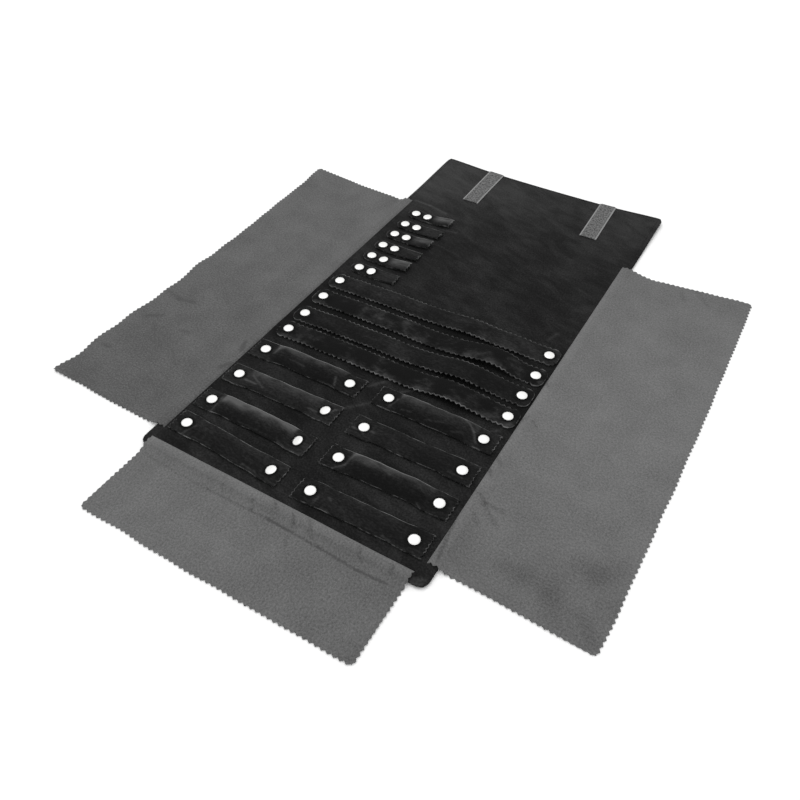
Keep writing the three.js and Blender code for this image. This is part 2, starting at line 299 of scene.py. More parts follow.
def add_node(tree, kind, inputs=None, **settings):
    """Adds a node with its settings, and links or sets its inputs."""
    node = tree.nodes.new(kind)
    for name, value in settings.items():
        setattr(node, name, value)
    for socket, value in (inputs or {}).items():
        if isinstance(value, bpy.types.NodeSocket):
            tree.links.new(value, node.inputs[socket])
        else:
            node.inputs[socket].default_value = value
    return node


def per(millimetres):
    """The scale of a pattern whose features are this far apart."""
    return 1 / (millimetres * MM)


def material(surface, colours):
    """A material named after the function that adds its nodes and gives its shader's inputs."""
    name = surface.__name__
    if name in bpy.data.materials:
        return bpy.data.materials[name]
    made = bpy.data.materials.new(name)
    made.use_nodes = True
    tree = made.node_tree
    tree.nodes.clear()
    shader = add_node(tree, "ShaderNodeBsdfPrincipled", surface(tree, colours))
    add_node(tree, "ShaderNodeOutputMaterial", {"Surface": shader.outputs[0]})
    return made


def pile_tone(tree, start, *patterns):
    """How pale a pile is: a start, the nap attribute, which holds how far handling has turned it along
    with painted highlights and painted shade, and patterns with their weights.
    """
    nap = add_node(tree, "ShaderNodeAttribute", attribute_name="nap")
    tone = add_node(tree, "ShaderNodeMath", {0: nap.outputs["Fac"], 1: start}, operation="ADD")
    for pattern, weight in patterns:
        inputs = {0: pattern.outputs["Fac"], 1: weight, 2: tone.outputs[0]}
        tone = add_node(tree, "ShaderNodeMath", inputs, operation="MULTIPLY_ADD")
    return tone.outputs[0]


def cut_velvet(tree, colours):
    """Cotton velvet with a short cut pile: almost black seen straight on, paler where it is seen at a low
    angle, and handled into streaks and soft patches. The nap attribute makes it paler where the pile lies
    over, and also carries painted highlights and painted shade."""
    flat = add_node(tree, "ShaderNodeTexCoord").outputs["UV"]
    drawn = add_node(
        tree, "ShaderNodeMapping", {"Vector": flat, "Rotation": (0, 0, -0.35), "Scale": (2.6, 1, 1)},
        vector_type="TEXTURE",
    )
    streaks = add_node(
        tree, "ShaderNodeTexNoise",
        {
            "Vector": drawn.outputs[0], "Scale": per(14), "Detail": 7.0, "Roughness": 0.72,
            "Distortion": 0.5,
        },
    )
    patches = add_node(tree, "ShaderNodeTexNoise", {"Vector": flat, "Scale": per(75), "Detail": 3.0})
    # The pile is drawn at 1.8 mm, coarser than its real 0.3 mm, so that it shows
    pile = add_node(
        tree, "ShaderNodeTexNoise", {"Vector": flat, "Scale": per(1.8), "Detail": 2.0, "Roughness": 0.7},
    )
    tone = pile_tone(tree, -0.75, (patches, 0.42), (streaks, 0.62), (pile, 0.62))
    shown = add_node(tree, "ShaderNodeMath", {0: tone, 1: 0.0, 2: 0.25}, operation="SMOOTH_MAX")
    base = add_node(
        tree, "ShaderNodeMix",
        {0: shown.outputs[0], 6: colours.velvet, 7: colours.brushed_and_lit}, data_type="RGBA",
    )
    tips = add_node(
        tree, "ShaderNodeBump", {"Height": pile.outputs["Fac"], "Strength": 0.4, "Distance": 0.3 * MM},
    )
    return {
        "Base Color": base.outputs[2], "Roughness": 0.9, "Specular IOR Level": 0.1,
        "Sheen Weight": 0.09, "Sheen Roughness": 0.28, "Normal": tips.outputs["Normal"],
    }


def velvet_edge(tree, colours):
    """The woven ground of the velvet where it is cut: a thin paler frayed line that comes and goes, to
    which the nap attribute adds painted highlights and painted shade.
    """
    flat = add_node(tree, "ShaderNodeTexCoord").outputs["UV"]
    nap = add_node(tree, "ShaderNodeAttribute", attribute_name="nap").outputs["Fac"]
    fray = add_node(
        tree, "ShaderNodeTexNoise", {"Vector": flat, "Scale": per(7), "Detail": 6.0, "Roughness": 0.75},
    )
    worn = add_node(
        tree, "ShaderNodeMapRange", {"Value": fray.outputs["Fac"], "From Min": 0.42, "From Max": 0.72},
    )
    shown = add_node(tree, "ShaderNodeMath", {0: worn.outputs[0], 1: nap}, operation="ADD")
    base = add_node(
        tree, "ShaderNodeMix",
        {0: shown.outputs[0], 6: colours.velvet, 7: colours.cut_edge}, data_type="RGBA",
    )
    return {"Base Color": base.outputs[2], "Roughness": 0.9, "Specular IOR Level": 0.15}


def microfibre_suede(tree, colours):
    """Polyester microfibre raised to a suede nap: matt, with a fine grain and faint turned patches, and
    the painted highlight and shade that the nap attribute carries.
    """
    flat = add_node(tree, "ShaderNodeTexCoord").outputs["UV"]
    patches = add_node(
        tree, "ShaderNodeTexNoise",
        {"Vector": flat, "Scale": per(40), "Detail": 6.0, "Roughness": 0.6, "Distortion": 0.3},
    )
    # The grain is drawn at 1.8 mm, coarser than the real nap, so that it shows
    grain = add_node(
        tree, "ShaderNodeTexNoise", {"Vector": flat, "Scale": per(1.8), "Detail": 3.0, "Roughness": 0.85},
    )
    tone = pile_tone(tree, -0.9, (patches, 0.6), (grain, 2.2))
    base = add_node(
        tree, "ShaderNodeMix", {0: tone, 6: colours.suede, 7: colours.suede_pale}, data_type="RGBA",
    )
    tips = add_node(
        tree, "ShaderNodeBump", {"Height": grain.outputs["Fac"], "Strength": 0.3, "Distance": 0.3 * MM},
    )
    return {
        "Base Color": base.outputs[2], "Roughness": 0.95, "Specular IOR Level": 0.12,
        "Sheen Weight": 0.05, "Sheen Roughness": 0.5, "Normal": tips.outputs["Normal"],
    }


def tape_pile(tree, colours):
    """Nylon hook and loop pile: a dense field of stiff threads that reads as salt and pepper."""
    flat = add_node(tree, "ShaderNodeTexCoord").outputs["UV"]
    hooks = add_node(
        tree, "ShaderNodeTexNoise", {"Vector": flat, "Scale": per(2.4), "Detail": 3.0, "Roughness": 0.8},
    )
    lit = add_node(
        tree, "ShaderNodeMapRange", {"Value": hooks.outputs["Fac"], "From Min": 0.38, "From Max": 0.66},
    )
    base = add_node(
        tree, "ShaderNodeMix",
        {0: lit.outputs[0], 6: colours.tape, 7: colours.tape_pale}, data_type="RGBA",
    )
    return {"Base Color": base.outputs[2], "Roughness": 0.7, "Specular IOR Level": 0.2}


def tape_selvedge(tree, colours):
    """The tape's woven nylon edge: smooth and paler, with a fine weave."""
    flat = add_node(tree, "ShaderNodeTexCoord").outputs["UV"]
    weave = add_node(
        tree, "ShaderNodeTexNoise", {"Vector": flat, "Scale": per(1.6), "Detail": 1.0, "Roughness": 0.5},
    )
    base = add_node(
        tree, "ShaderNodeMix",
        {0: weave.outputs["Fac"], 6: colours.tape_pale, 7: colours.selvedge}, data_type="RGBA",
    )
    return {"Base Color": base.outputs[2], "Roughness": 0.65, "Specular IOR Level": 0.2}


def polished_nickel(tree, colours):
    """Nickel-plated brass, stamped and tumbled: bright, with a soft gloss and faint handling marks."""
    place = add_node(tree, "ShaderNodeTexCoord").outputs["Object"]
    marks = add_node(
        tree, "ShaderNodeTexNoise", {"Vector": place, "Scale": per(2.2), "Detail": 3.0, "Roughness": 0.6},
    )
    gloss = add_node(
        tree, "ShaderNodeMapRange", {"Value": marks.outputs["Fac"], "To Min": 0.2, "To Max": 0.36},
    )
    return {"Base Color": colours.metal, "Metallic": 1.0, "Roughness": gloss.outputs[0]}


def sewing_thread(tree, colours):
    """Twisted polyester thread: dark and matt, with a fine twist."""
    place = add_node(tree, "ShaderNodeTexCoord").outputs["Object"]
    twist = add_node(tree, "ShaderNodeTexNoise", {"Vector": place, "Scale": per(0.8), "Detail": 1.0})
    base = add_node(
        tree, "ShaderNodeMix",
        {0: twist.outputs["Fac"], 6: colours.velvet, 7: colours.thread}, data_type="RGBA",
    )
    return {"Base Color": base.outputs[2], "Roughness": 0.9, "Specular IOR Level": 0.1}


def soft_foam(tree, colours):
    """Open-cell polyurethane foam: matt and pale, with small cells."""
    flat = add_node(tree, "ShaderNodeTexCoord").outputs["UV"]
    cells = add_node(tree, "ShaderNodeTexVoronoi", {"Vector": flat, "Scale": per(1.2)})
    pores = add_node(
        tree, "ShaderNodeBump",
        {"Height": cells.outputs["Distance"], "Strength": 0.4, "Distance": 0.3 * MM},
    )
    return {"Base Color": colours.foam, "Roughness": 0.95, "Normal": pores.outputs["Normal"]}


def floor_paper(tree, colours):
    """A matt white paper sweep with a faint tooth."""
    place = add_node(tree, "ShaderNodeTexCoord").outputs["Object"]
    fibres = add_node(tree, "ShaderNodeTexNoise", {"Vector": place, "Scale": per(3), "Detail": 2.0})
    tooth = add_node(
        tree, "ShaderNodeBump", {"Height": fibres.outputs["Fac"], "Strength": 0.05, "Distance": 0.1 * MM},
    )
    return {
        "Base Color": colours.floor, "Roughness": 1.0, "Specular IOR Level": 0.0,
        "Normal": tooth.outputs["Normal"],
    }


# The padded panel

LINING_STEP = 2.5 * MM
HIDDEN_STEP = 5 * MM
FOLD_STEP = 1.6 * MM
FOLD_REACH = 18 * MM
LINING_WAVE = 0.25 * MM
LINING_ROLL, LINING_GROOVE = 2.0 * MM, 0.35 * MM
COVER_ROLL, COVER_GROOVE = 2.2 * MM, 0.45 * MM
GROOVE_REACH = 1.1 * MM
OFF_TABLE = 0.05 * MM
TAPE_BED = 0.85 * MM
TAPE_BED_EDGE = 0.8 * MM
FOAM_TOP = LINING_TOP - 1.4 * MM
FOAM_INSET = 3.5 * MM
FOAM_THICKNESS = 1.7 * MM
STITCH_GAP = 0.25
STITCH_PAST_FOLD = 2 * MM

# How far a crease in the lining reaches, and the creases, from one point to another in millimetres
# from the panel's middle line and the foot flap's seam, and how far they turn its pile
LINING_CREASE_REACH = 1.7
LINING_CREASES = (
    (-136, 472, -114, 470, 0.3), (-114, 470, -88, 464, 0.25), (-74, 431, -57, 433, 0.2),
    (-7, 155, 3, 168, 0.25), (3, 168, 12, 175, 0.2), (24, 164, 36, 176, 0.25),
    (-15, 115, 9, 139, 0.2), (117, 309, 122, 324, 0.2), (123, 164, 128, 169, 0.25),
    (138, -6, 146, -3, 0.3), (138, -9, 147, -8, 0.25),
)


def panel_lines(sizes, step):
    """Grid lines across and along the panel, closer at its rounded edges, its tapes and its fold."""
    near_edge = [share * sizes.edge_roll for share in (0, 0.15, 0.35, 0.6, 1, 1.6, 2.2)]
    beside_tape = (-TAPE_BED_EDGE, TAPE_BED_EDGE / 2)
    fold = grid_lines(FOLD_LINE - FOLD_REACH, FOLD_LINE + FOLD_REACH, FOLD_STEP)
    lines = []
    # Both tapes lie at one place along the panel, so the second axis needs the lines of one
    for axis, tapes, extra in ((0, LOOP_TAPES, []), (1, LOOP_TAPES[:1], fold)):
        edges = [(PANEL_LOW, PANEL_HIGH, near_edge)]
        edges += [(low, high, beside_tape) for low, high in tapes]
        for low, high, offs in edges:
            extra = extra + [low[axis] + off for off in offs] + [high[axis] - off for off in offs]
        lines.append(grid_lines(PANEL_LOW[axis], PANEL_HIGH[axis], step, *extra))
    return lines


def panel_outline(x, y, sizes):
    """Draws the panel's four corners in to their round outlines."""
    if y > FOLD_LINE:
        radius, way, end = sizes.head_corner, 1, PANEL_HIGH.y
    else:
        radius, way, end = sizes.foot_corner, -1, PANEL_LOW.y
    inner_x, inner_y = PANEL_HALF - radius, end - way * radius
    out = x - PANEL_MIDDLE
    dx, dy = rounded(abs(out) - inner_x, way * (y - inner_y), radius)
    return PANEL_MIDDLE + math.copysign(dx + inner_x, out), inner_y + way * dy


def panel_shift(x, y, sizes):
    """How the closing end lies: its edge is drawn in at the middle, and its corners lift."""
    share = abs(x - PANEL_MIDDLE) / PANEL_HALF
    head = smooth(FOLD_LINE + FOLD_REACH, PANEL_HIGH.y, y)
    drawn = -sizes.head_draw * (1 - share * share) * head
    lift = sizes.corner_lift * smooth(0.45, 1, share) * head
    return drawn, lift


def edge_distance(x, y):
    """Distance from a flat point of the panel to its nearest edge."""
    side = PANEL_HALF - abs(x - PANEL_MIDDLE)
    return max(min(side, y - PANEL_LOW.y, PANEL_HIGH.y - y), 0.0)


def edge_dip(inset, sizes, roll, groove):
    """How far a face of the panel is drawn in at its rounded edge and along its stitching."""
    rounding = (1 - min(inset / sizes.edge_roll, 1)) ** 2
    return roll * rounding + groove * bump(sizes.stitch_inset, GROOVE_REACH, inset)


def lining_height(x, y, sizes):
    """Top of the lining: flat and a little uneven, drawn down along its stitching and at its edge."""
    inset = edge_distance(x, y)
    uneven = LINING_WAVE * ripple(x, y, 46 * MM, 2.0) * smooth(0, 12 * MM, inset)
    return LINING_TOP + uneven - edge_dip(inset, sizes, LINING_ROLL, LINING_GROOVE)


def cover_height(x, y, sizes):
    """Underside of the cover: flat on the table, pressed in round the loop tapes and its stitching."""
    in_tape = max(min(x - low.x, high.x - x, y - low.y, high.y - y) for low, high in LOOP_TAPES)
    pressed = TAPE_BED * smooth(-TAPE_BED_EDGE, -TAPE_BED_EDGE / 4, in_tape)
    dip = edge_dip(edge_distance(x, y), sizes, COVER_ROLL, COVER_GROOVE)
    return max(OFF_TABLE + dip, pressed)


def lining_nap_and_shade(x, y):
    """The lining is darkened by a painted shade where the ring bars lie over it, made paler towards its
    head, and its pile is turned along its creases."""
    across, along = x - PANEL_MIDDLE, y - FOOT_SEAM
    under = min(y - BARS_FROM, BARS_TO - y) + 6 * MM * ripple(x, y, 40 * MM, 8.0)
    # Painted shade between and under the ring bars
    pressed = 0.14 * smooth(-6 * MM, 9 * MM, under)
    paler = 0.16 * smooth(380 * MM, 540 * MM, along) * smooth(-60 * MM, 150 * MM, -across)
    paler += 0.12 * smooth(450 * MM, 560 * MM, along)
    return creased(across, along, LINING_CREASES, LINING_CREASE_REACH) + paler - pressed


def lay_panel(sizes, height, step, inset=0.0, nap=None):
    """A sheet as large as the panel, laid at a height of its own and drawn in by an inset."""
    across, along = panel_lines(sizes, step)
    shrink_x = 1 - inset / PANEL_HALF
    middle_y = (PANEL_LOW.y + PANEL_HIGH.y) / 2
    shrink_y = 1 - 2 * inset / (PANEL_HIGH.y - PANEL_LOW.y)

    def lie(x, y):
        drawn, lift = panel_shift(x, y, sizes)
        px, py = panel_outline(x, y, sizes)
        px = PANEL_MIDDLE + (px - PANEL_MIDDLE) * shrink_x
        py = middle_y + (py - middle_y) * shrink_y
        return Vector((px, py + drawn, height(x, y, sizes) + lift))

    return lay_sheet(len(across) - 1, len(along) - 1, lambda i, j: (across[i], along[j]), lie, nap=nap)


def stitch_line(mesh, points, length, thread):
    """Sews stitches of one length along a line of points."""
    shape = Matrix.Diagonal((length / 2, thread / 2, thread / 2, 1))
    shape = shape @ Matrix.Rotation(math.pi / 2, 4, "Y")
    along = 0.0
    for start, end in zip(points, points[1:]):
        run = end - start
        turn = run.to_track_quat("X", "Z").to_matrix().to_4x4()
        while along < run.length:
            centre = start + run * (along / run.length)
            bmesh.ops.create_uvsphere(
                mesh, u_segments=6, v_segments=4, radius=1.0,
                matrix=Matrix.Translation(centre) @ turn @ shape,
            )
            along += length * (1 + STITCH_GAP)
        along -= run.length


def edge_path(sizes, height, start_y):
    """Points of the stitching that follows the panel's edge, up one side, over the head and down."""
    inset = sizes.stitch_inset
    left, right = PANEL_LOW.x + inset, PANEL_HIGH.x - inset
    head = PANEL_HIGH.y - inset
    step = 6 * MM
    side = grid_lines(start_y, head, step)
    flat = [(left, y) for y in side]
    flat += [(x, head) for x in grid_lines(left, right, step)[1:]]
    flat += [(right, y) for y in reversed(side[:-1])]
    points = []
    for x, y in flat:
        drawn, lift = panel_shift(x, y, sizes)
        points.append(Vector((x, y + drawn, height(x, y, sizes) + lift)))
    return points


class ROLL_OT_panel(bpy.types.Operator):
    """Make the padded panel: lining, padding, outer cover and edge stitching"""

    bl_idname = "jewelry_roll.panel"
    bl_label = "Panel"

    def execute(self, context):
        sizes, colours = context.scene.roll_sizes, context.scene.roll_colours
        velvet = material(cut_velvet, colours)
        flat = (PANEL_HIGH.x - PANEL_LOW.x, PANEL_HIGH.y - PANEL_LOW.y)

        face = lay_panel(sizes, lining_height, LINING_STEP, nap=lining_nap_and_shade)
        lining = add_piece("velvet_lining", face, velvet)
        nodes = ("lining", "closing_lining")
        finish_cloth(lining, sizes.lining_thickness, nodes, flat, "padding")

        under = lay_panel(sizes, cover_height, HIDDEN_STEP)
        bmesh.ops.reverse_faces(under, faces=under.faces)
        cover = add_piece("velvet_cover", under, velvet)
        nodes = ("outer_cover", "closing_cover")
        finish_cloth(cover, sizes.cover_thickness, nodes, flat, "padding")

        pad = lay_panel(sizes, lambda x, y, _: FOAM_TOP, HIDDEN_STEP, FOAM_INSET)
        padding = add_piece("foam_padding", pad, material(soft_foam, colours))
        thicken(padding, FOAM_THICKNESS)
        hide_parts("padding", "closing_padding")

        sewn = bmesh.new()
        top_start, foot = FOLD_LINE + STITCH_PAST_FOLD, PANEL_LOW.y + sizes.foot_corner
        for height, start_y in ((lining_height, top_start), (cover_height, foot)):
            stitch_line(sewn, edge_path(sizes, height, start_y), sizes.stitch_length, sizes.thread)
        stitching = shade(add_piece("edge_stitching", sewn, material(sewing_thread, colours)))

        for piece in (lining, cover, padding, stitching):
            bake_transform(piece)
        return {"FINISHED"}


# Flaps

FLAP_MARGIN = 10 * MM
FLAP_SEAT = 0.25 * MM
FLAP_TUCK = 0.9 * MM
FLAP_FINE = 33 * MM
FLAP_CORNER = 1.5 * MM
FLAP_END_WAVE = 1.2 * MM
FLAP_SEAM = 0.5 * MM
FLAP_WAYS = {"left_flap": (-1, 0, 0), "right_flap": (1, 0, 0), "foot_flap": (0, -1, 0)}

# How far a soft shade reaches, in millimetres, and how each flap lies and is creased, in the words
# that Flap explains
FLAP_SHADE_REACH = 10
FLAP_LOOKS = {
    "left_flap": {
        "seed": 11.0, "ends": ((-5, 4), (0, -2.5)), "outer": (-0.5, -7.5), "edge_wave": 3,
        "fall": (9, 24), "fold": 7, "tone": (-0.18, -0.22, -0.32), "turned": 0.0, "crease_reach": 2.2,
        "creases": (
            (143, 73, 121, 78, 0.2), (121, 78, 103, 74, 0.25), (132, 118, 117, 108, 0.25),
            (115, 123, 107, 131, 0.15), (82, 116, 73, 115, 0.2), (69, 145, 54, 159, 0.12),
            (10, 100, 5, 112, 0.35), (3, 134, 7, 142, 0.35), (137, 174, 129, 174, 0.25),
            (92, 36, 70, 57, 0.1),
        ),
    },
    "right_flap": {
        "seed": 23.0, "ends": ((1.5, 5), (-5.5, 6.5)), "outer": (-2, 0.5), "edge_wave": 0.4,
        "fall": (12, 30), "fold": 7, "tone": (-0.07, 0.1, -0.03), "turned": 0.06, "crease_reach": 1.7,
        "creases": (
            (4, -149, 14, -156, 0.4), (14, -156, 30, -154, 0.32), (12, -157, 31, -170, 0.26),
            (11, -172, 17, -178, 0.2), (0, -106, 7, -112, 0.35), (-1, -122, 5, -128, 0.35),
            (-1, -181, 6, -226, 0.4), (-2, 76, -1, 67, 0.3), (5, -1, 0, 4, 0.3),
            (4, -46, 1, -54, 0.3), (9, -49, 15, -53, 0.3), (0, -77, -1, -84, 0.3),
            (-3, -117, 3, -123, 0.3), (71, 219, 78, 205, 0.25), (86, 228, 105, 208, 0.25),
        ),
        "shades": (
            (52, -202, 95, -203, 0.19), (93, -210, 102, -221, 0.12), (103, -169, 119, -172, 0.15),
            (119, -172, 132, -157, 0.15), (126, -213, 136, -226, 0.14),
        ),
    },
    "foot_flap": {
        "seed": 37.0, "ends": ((0, 0), (0, 0)), "outer": (-1.5, 0), "edge_wave": 0.8,
        "fall": (10, 10), "fold": 17, "tone": (0, -0.02, -0.14), "turned": 0.1, "crease_reach": 1.2,
        "creases": (
            (18.5, -126, 19.6, -57, 0.15), (19.6, -57, 17.9, 8, 0.25), (17.9, 8, 18.2, 29, 0.55),
            (18.2, 29, 19.1, 60, 0.35), (19.1, 60, 20.7, 97, 0.4), (20.7, 97, 19.1, 122, 0.5),
            (2, -50, 15, -44, 0.2), (8, -15, 17, -11, 0.35), (2, 4, 9, 10, 0.35),
            (5, 25, 14, 31, 0.4), (1, 39, 15, 50, 0.3), (24, 31, 33, 37, 0.2),
            (4, 90, 12, 95, 0.25), (4, 121, 11, 124, 0.35),
        ),
    },
}


class Flap:
    """A suede flap laid flat from its seam, with u out from its root and v along it. ends says how far
    each end reaches past the frame's, at the root and at the outer edge, outer how far the outer edge
    does, at its ends and in its middle, fall the length over which it comes down to the table, at its
    first end and past it, fold a length out from its seam along which nothing is bent, creases where
    and over what reach painted shade darkens it along its creases, and shades where it is darkened
    softly, all in millimetres. tone says how far its nap is turned at its first end, its middle and
    its last end, and turned how bright the painted highlight at its root is and how dark the painted
    shade where it turns down."""

    def __init__(
        self, name, sizes, seed, ends, outer, edge_wave, fall, fold, tone, turned, crease_reach, creases,
        shades=(),
    ):
        self.name, self.seed, self.ends, self.outer = name, seed, ends, outer
        self.edge_wave, self.fall, self.fold = edge_wave * MM, fall, fold * MM
        self.tone, self.turned, self.shades = tone, turned, shades
        self.crease_reach, self.creases = crease_reach, creases
        self.thickness, self.depth = sizes.flap_thickness, sizes.flap_notch
        self.out = Vector(FLAP_WAYS[name])
        self.along = UP.cross(self.out)
        low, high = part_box(name)
        root, middle = Vector(HINGES[f"{name}_fold"]), (low + high) / 2
        self.width = max(self.out.dot(corner - root) for corner in (low, high))
        self.length = abs(self.along.dot(high - low))
        self.middle = middle - self.out * self.out.dot(middle - root)
        self.middle.z = 0
        self.step = self.width / round(self.width / sizes.flap_tooth) / 2
        fine = round(FLAP_FINE / self.step) * self.step
        self.us = [*grid_lines(0, fine, self.step / 3)[:-1], *grid_lines(fine, self.width, self.step)]
        self.rows = 2 * round(self.length / sizes.flap_tooth)

    def flat(self, i, j):
        u, t = self.us[i], 2 * j / self.rows - 1
        spread = smooth(0.2, 1, u / self.width)
        v = t * (self.length / 2 + between(*self.ends[int(t > 0)], spread) * MM)
        if j in (0, self.rows):
            wave = FLAP_END_WAVE * ripple(u, v, 32 * MM, self.seed + 1)
            v -= math.copysign(notch(u, 2 * self.step, self.depth) + wave, v)
        at_ends, at_middle = self.outer
        wave = (0.5 * MM + 1.2 * self.edge_wave) * ripple(v, 0, 36 * MM, self.seed)
        wave *= smooth(0.85, 1, u / self.width)
        u += between(at_middle, at_ends, t * t) * spread * MM - wave
        if i == len(self.us) - 1:
            u -= self.depth * (j % 2)
            if j in (0, self.rows):
                u, v = u - FLAP_CORNER, v - math.copysign(FLAP_CORNER, v)
        return u, v

    def landing(self, v):
        """How far out from its root the flap comes down on to the table."""
        fall = between(*self.fall, smooth(-0.95, -0.7, 2 * v / self.length))
        return FLAP_MARGIN + fall * MM * (1 + 0.4 * ripple(v, 0, 50 * MM, self.seed))

    def height(self, u, v):
        """Underside of the flap: sewn down at its root, laid on the panel's margin, then on the table."""
        seat = LINING_TOP + FLAP_SEAT
        if u < FLAP_MARGIN:
            return between(LINING_TOP - FLAP_TUCK, seat, smooth(0, 2.2 * MM, u))
        landing = self.landing(v)
        fall = min((u - FLAP_MARGIN) / (landing - FLAP_MARGIN), 1)
        height = seat * (1 - fall * (1.8 - 0.8 * fall))
        clear = smooth(landing - 2 * MM, landing + 14 * MM, u)
        outer = smooth(0.75 * self.width, self.width, u)
        waves = 0.5 * MM * (1 + ripple(u, v, 75 * MM, self.seed + 3)) * (1 - outer)
        near = 1 - smooth(30 * MM, 85 * MM, u)
        pulls = 0.35 * MM * (1 + ripple(u * 0.25, v, 17 * MM, self.seed + 6)) * near
        edge = self.edge_wave * (0.5 + 0.5 * ripple(0, v, 38 * MM, self.seed + 9)) * outer
        return max(height + clear * (waves + pulls + edge), OFF_TABLE)

    def nap(self, u, v):
        """Its tone from end to end, a painted highlight at the root, a painted shade where the flap turns
        down, painted shade along its creases and darker soft shades.
        """
        first, middle, last = self.tone
        t = 2 * v / self.length
        tone = middle + (last - first) / 2 * t + ((first + last) / 2 - middle) * t * t
        # Painted highlight where the flap climbs out of its root seam
        root = self.turned * (1 - smooth(2 * MM, 7 * MM, u))
        # Painted shade where the flap turns down over the panel's edge
        turn = -0.6 * self.turned * bump(FLAP_MARGIN, 2.5 * MM, u)
        # Painted shade along the creases, and darker soft shades
        dark = creased(u, v, self.creases, self.crease_reach)
        dark += creased(u, v, self.shades, FLAP_SHADE_REACH)
        return tone + root + turn - dark

    def point(self, u, v):
        """Where a flat point of the flap's face lies."""
        top = self.height(u, v) + self.thickness
        return self.middle + self.out * u + self.along * v + UP * top


def make_flap(flap, colours):
    """One suede flap with pinked edges, sewn to the panel."""
    sheet = lay_sheet(len(flap.us) - 1, flap.rows, flap.flat, flap.point, nap=flap.nap)
    cloth = add_piece(f"suede_{flap.name}", sheet, material(microfibre_suede, colours))
    flat = (flap.width, flap.length)
    finish_cloth(cloth, flap.thickness, [flap.name], flat, "lining")
    seam = flap.middle + UP * LINING_TOP
    start, end = seam + flap.out * FLAP_SEAM, seam + flap.out * flap.fold
    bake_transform(cloth)
    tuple(start)
    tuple(end)


class ROLL_OT_flaps(bpy.types.Operator):
    """Make the left, right and foot flaps"""

    bl_idname = "jewelry_roll.flaps"
    bl_label = "Flaps"

    def execute(self, context):
        for name, looks in FLAP_LOOKS.items():
            make_flap(Flap(name, context.scene.roll_sizes, **looks), context.scene.roll_colours)
        return {"FINISHED"}


# Straps

STRAP_REST = 0.4 * MM
SNAP_LIFT = 1.5 * MM
SNAP_REACH = 10 * MM
# Radius of the painted shadow round each snap's cap
SNAP_RING = 6.1 * MM
BOLT_SPREAD = 7

# How far the fixed snap and the free snap of each column's straps lie from their row's middle, row
# by row in millimetres
DRIFT = {
    "bracelet_strap_left": ((4.0, -0.8), (-2.1, -2.8), (-2.5, -0.2), (-1.5, 0.5)),
    "bracelet_strap_right": ((1.1, -1.6), (2.0, 0.0), (2.2, 0.6), (2.8, 3.1)),
    "ring_bar": ((-1.1, 2.5), (-4.1, 1.6), (-2.5, 1.2), (-2.7, 2.7)),
    "necklace_strap": ((0, 0), (0.7, 0.7), (-0.6, -0.6), (0.2, 0.2), (-1.1, -1.1), (-0.2, -0.2)),
}

# How far a free snap tips up along its strap and across it
TIPPED = {
    "bracelet_strap_left_1": (0.22, 0.05), "bracelet_strap_left_2": (0.34, 0.2),
    "bracelet_strap_left_3": (0.22, 0.08), "necklace_strap_1": (0.1, 0.1),
    "necklace_strap_2": (0.1, 0.0), "necklace_strap_6": (0.1, 0.0),
}


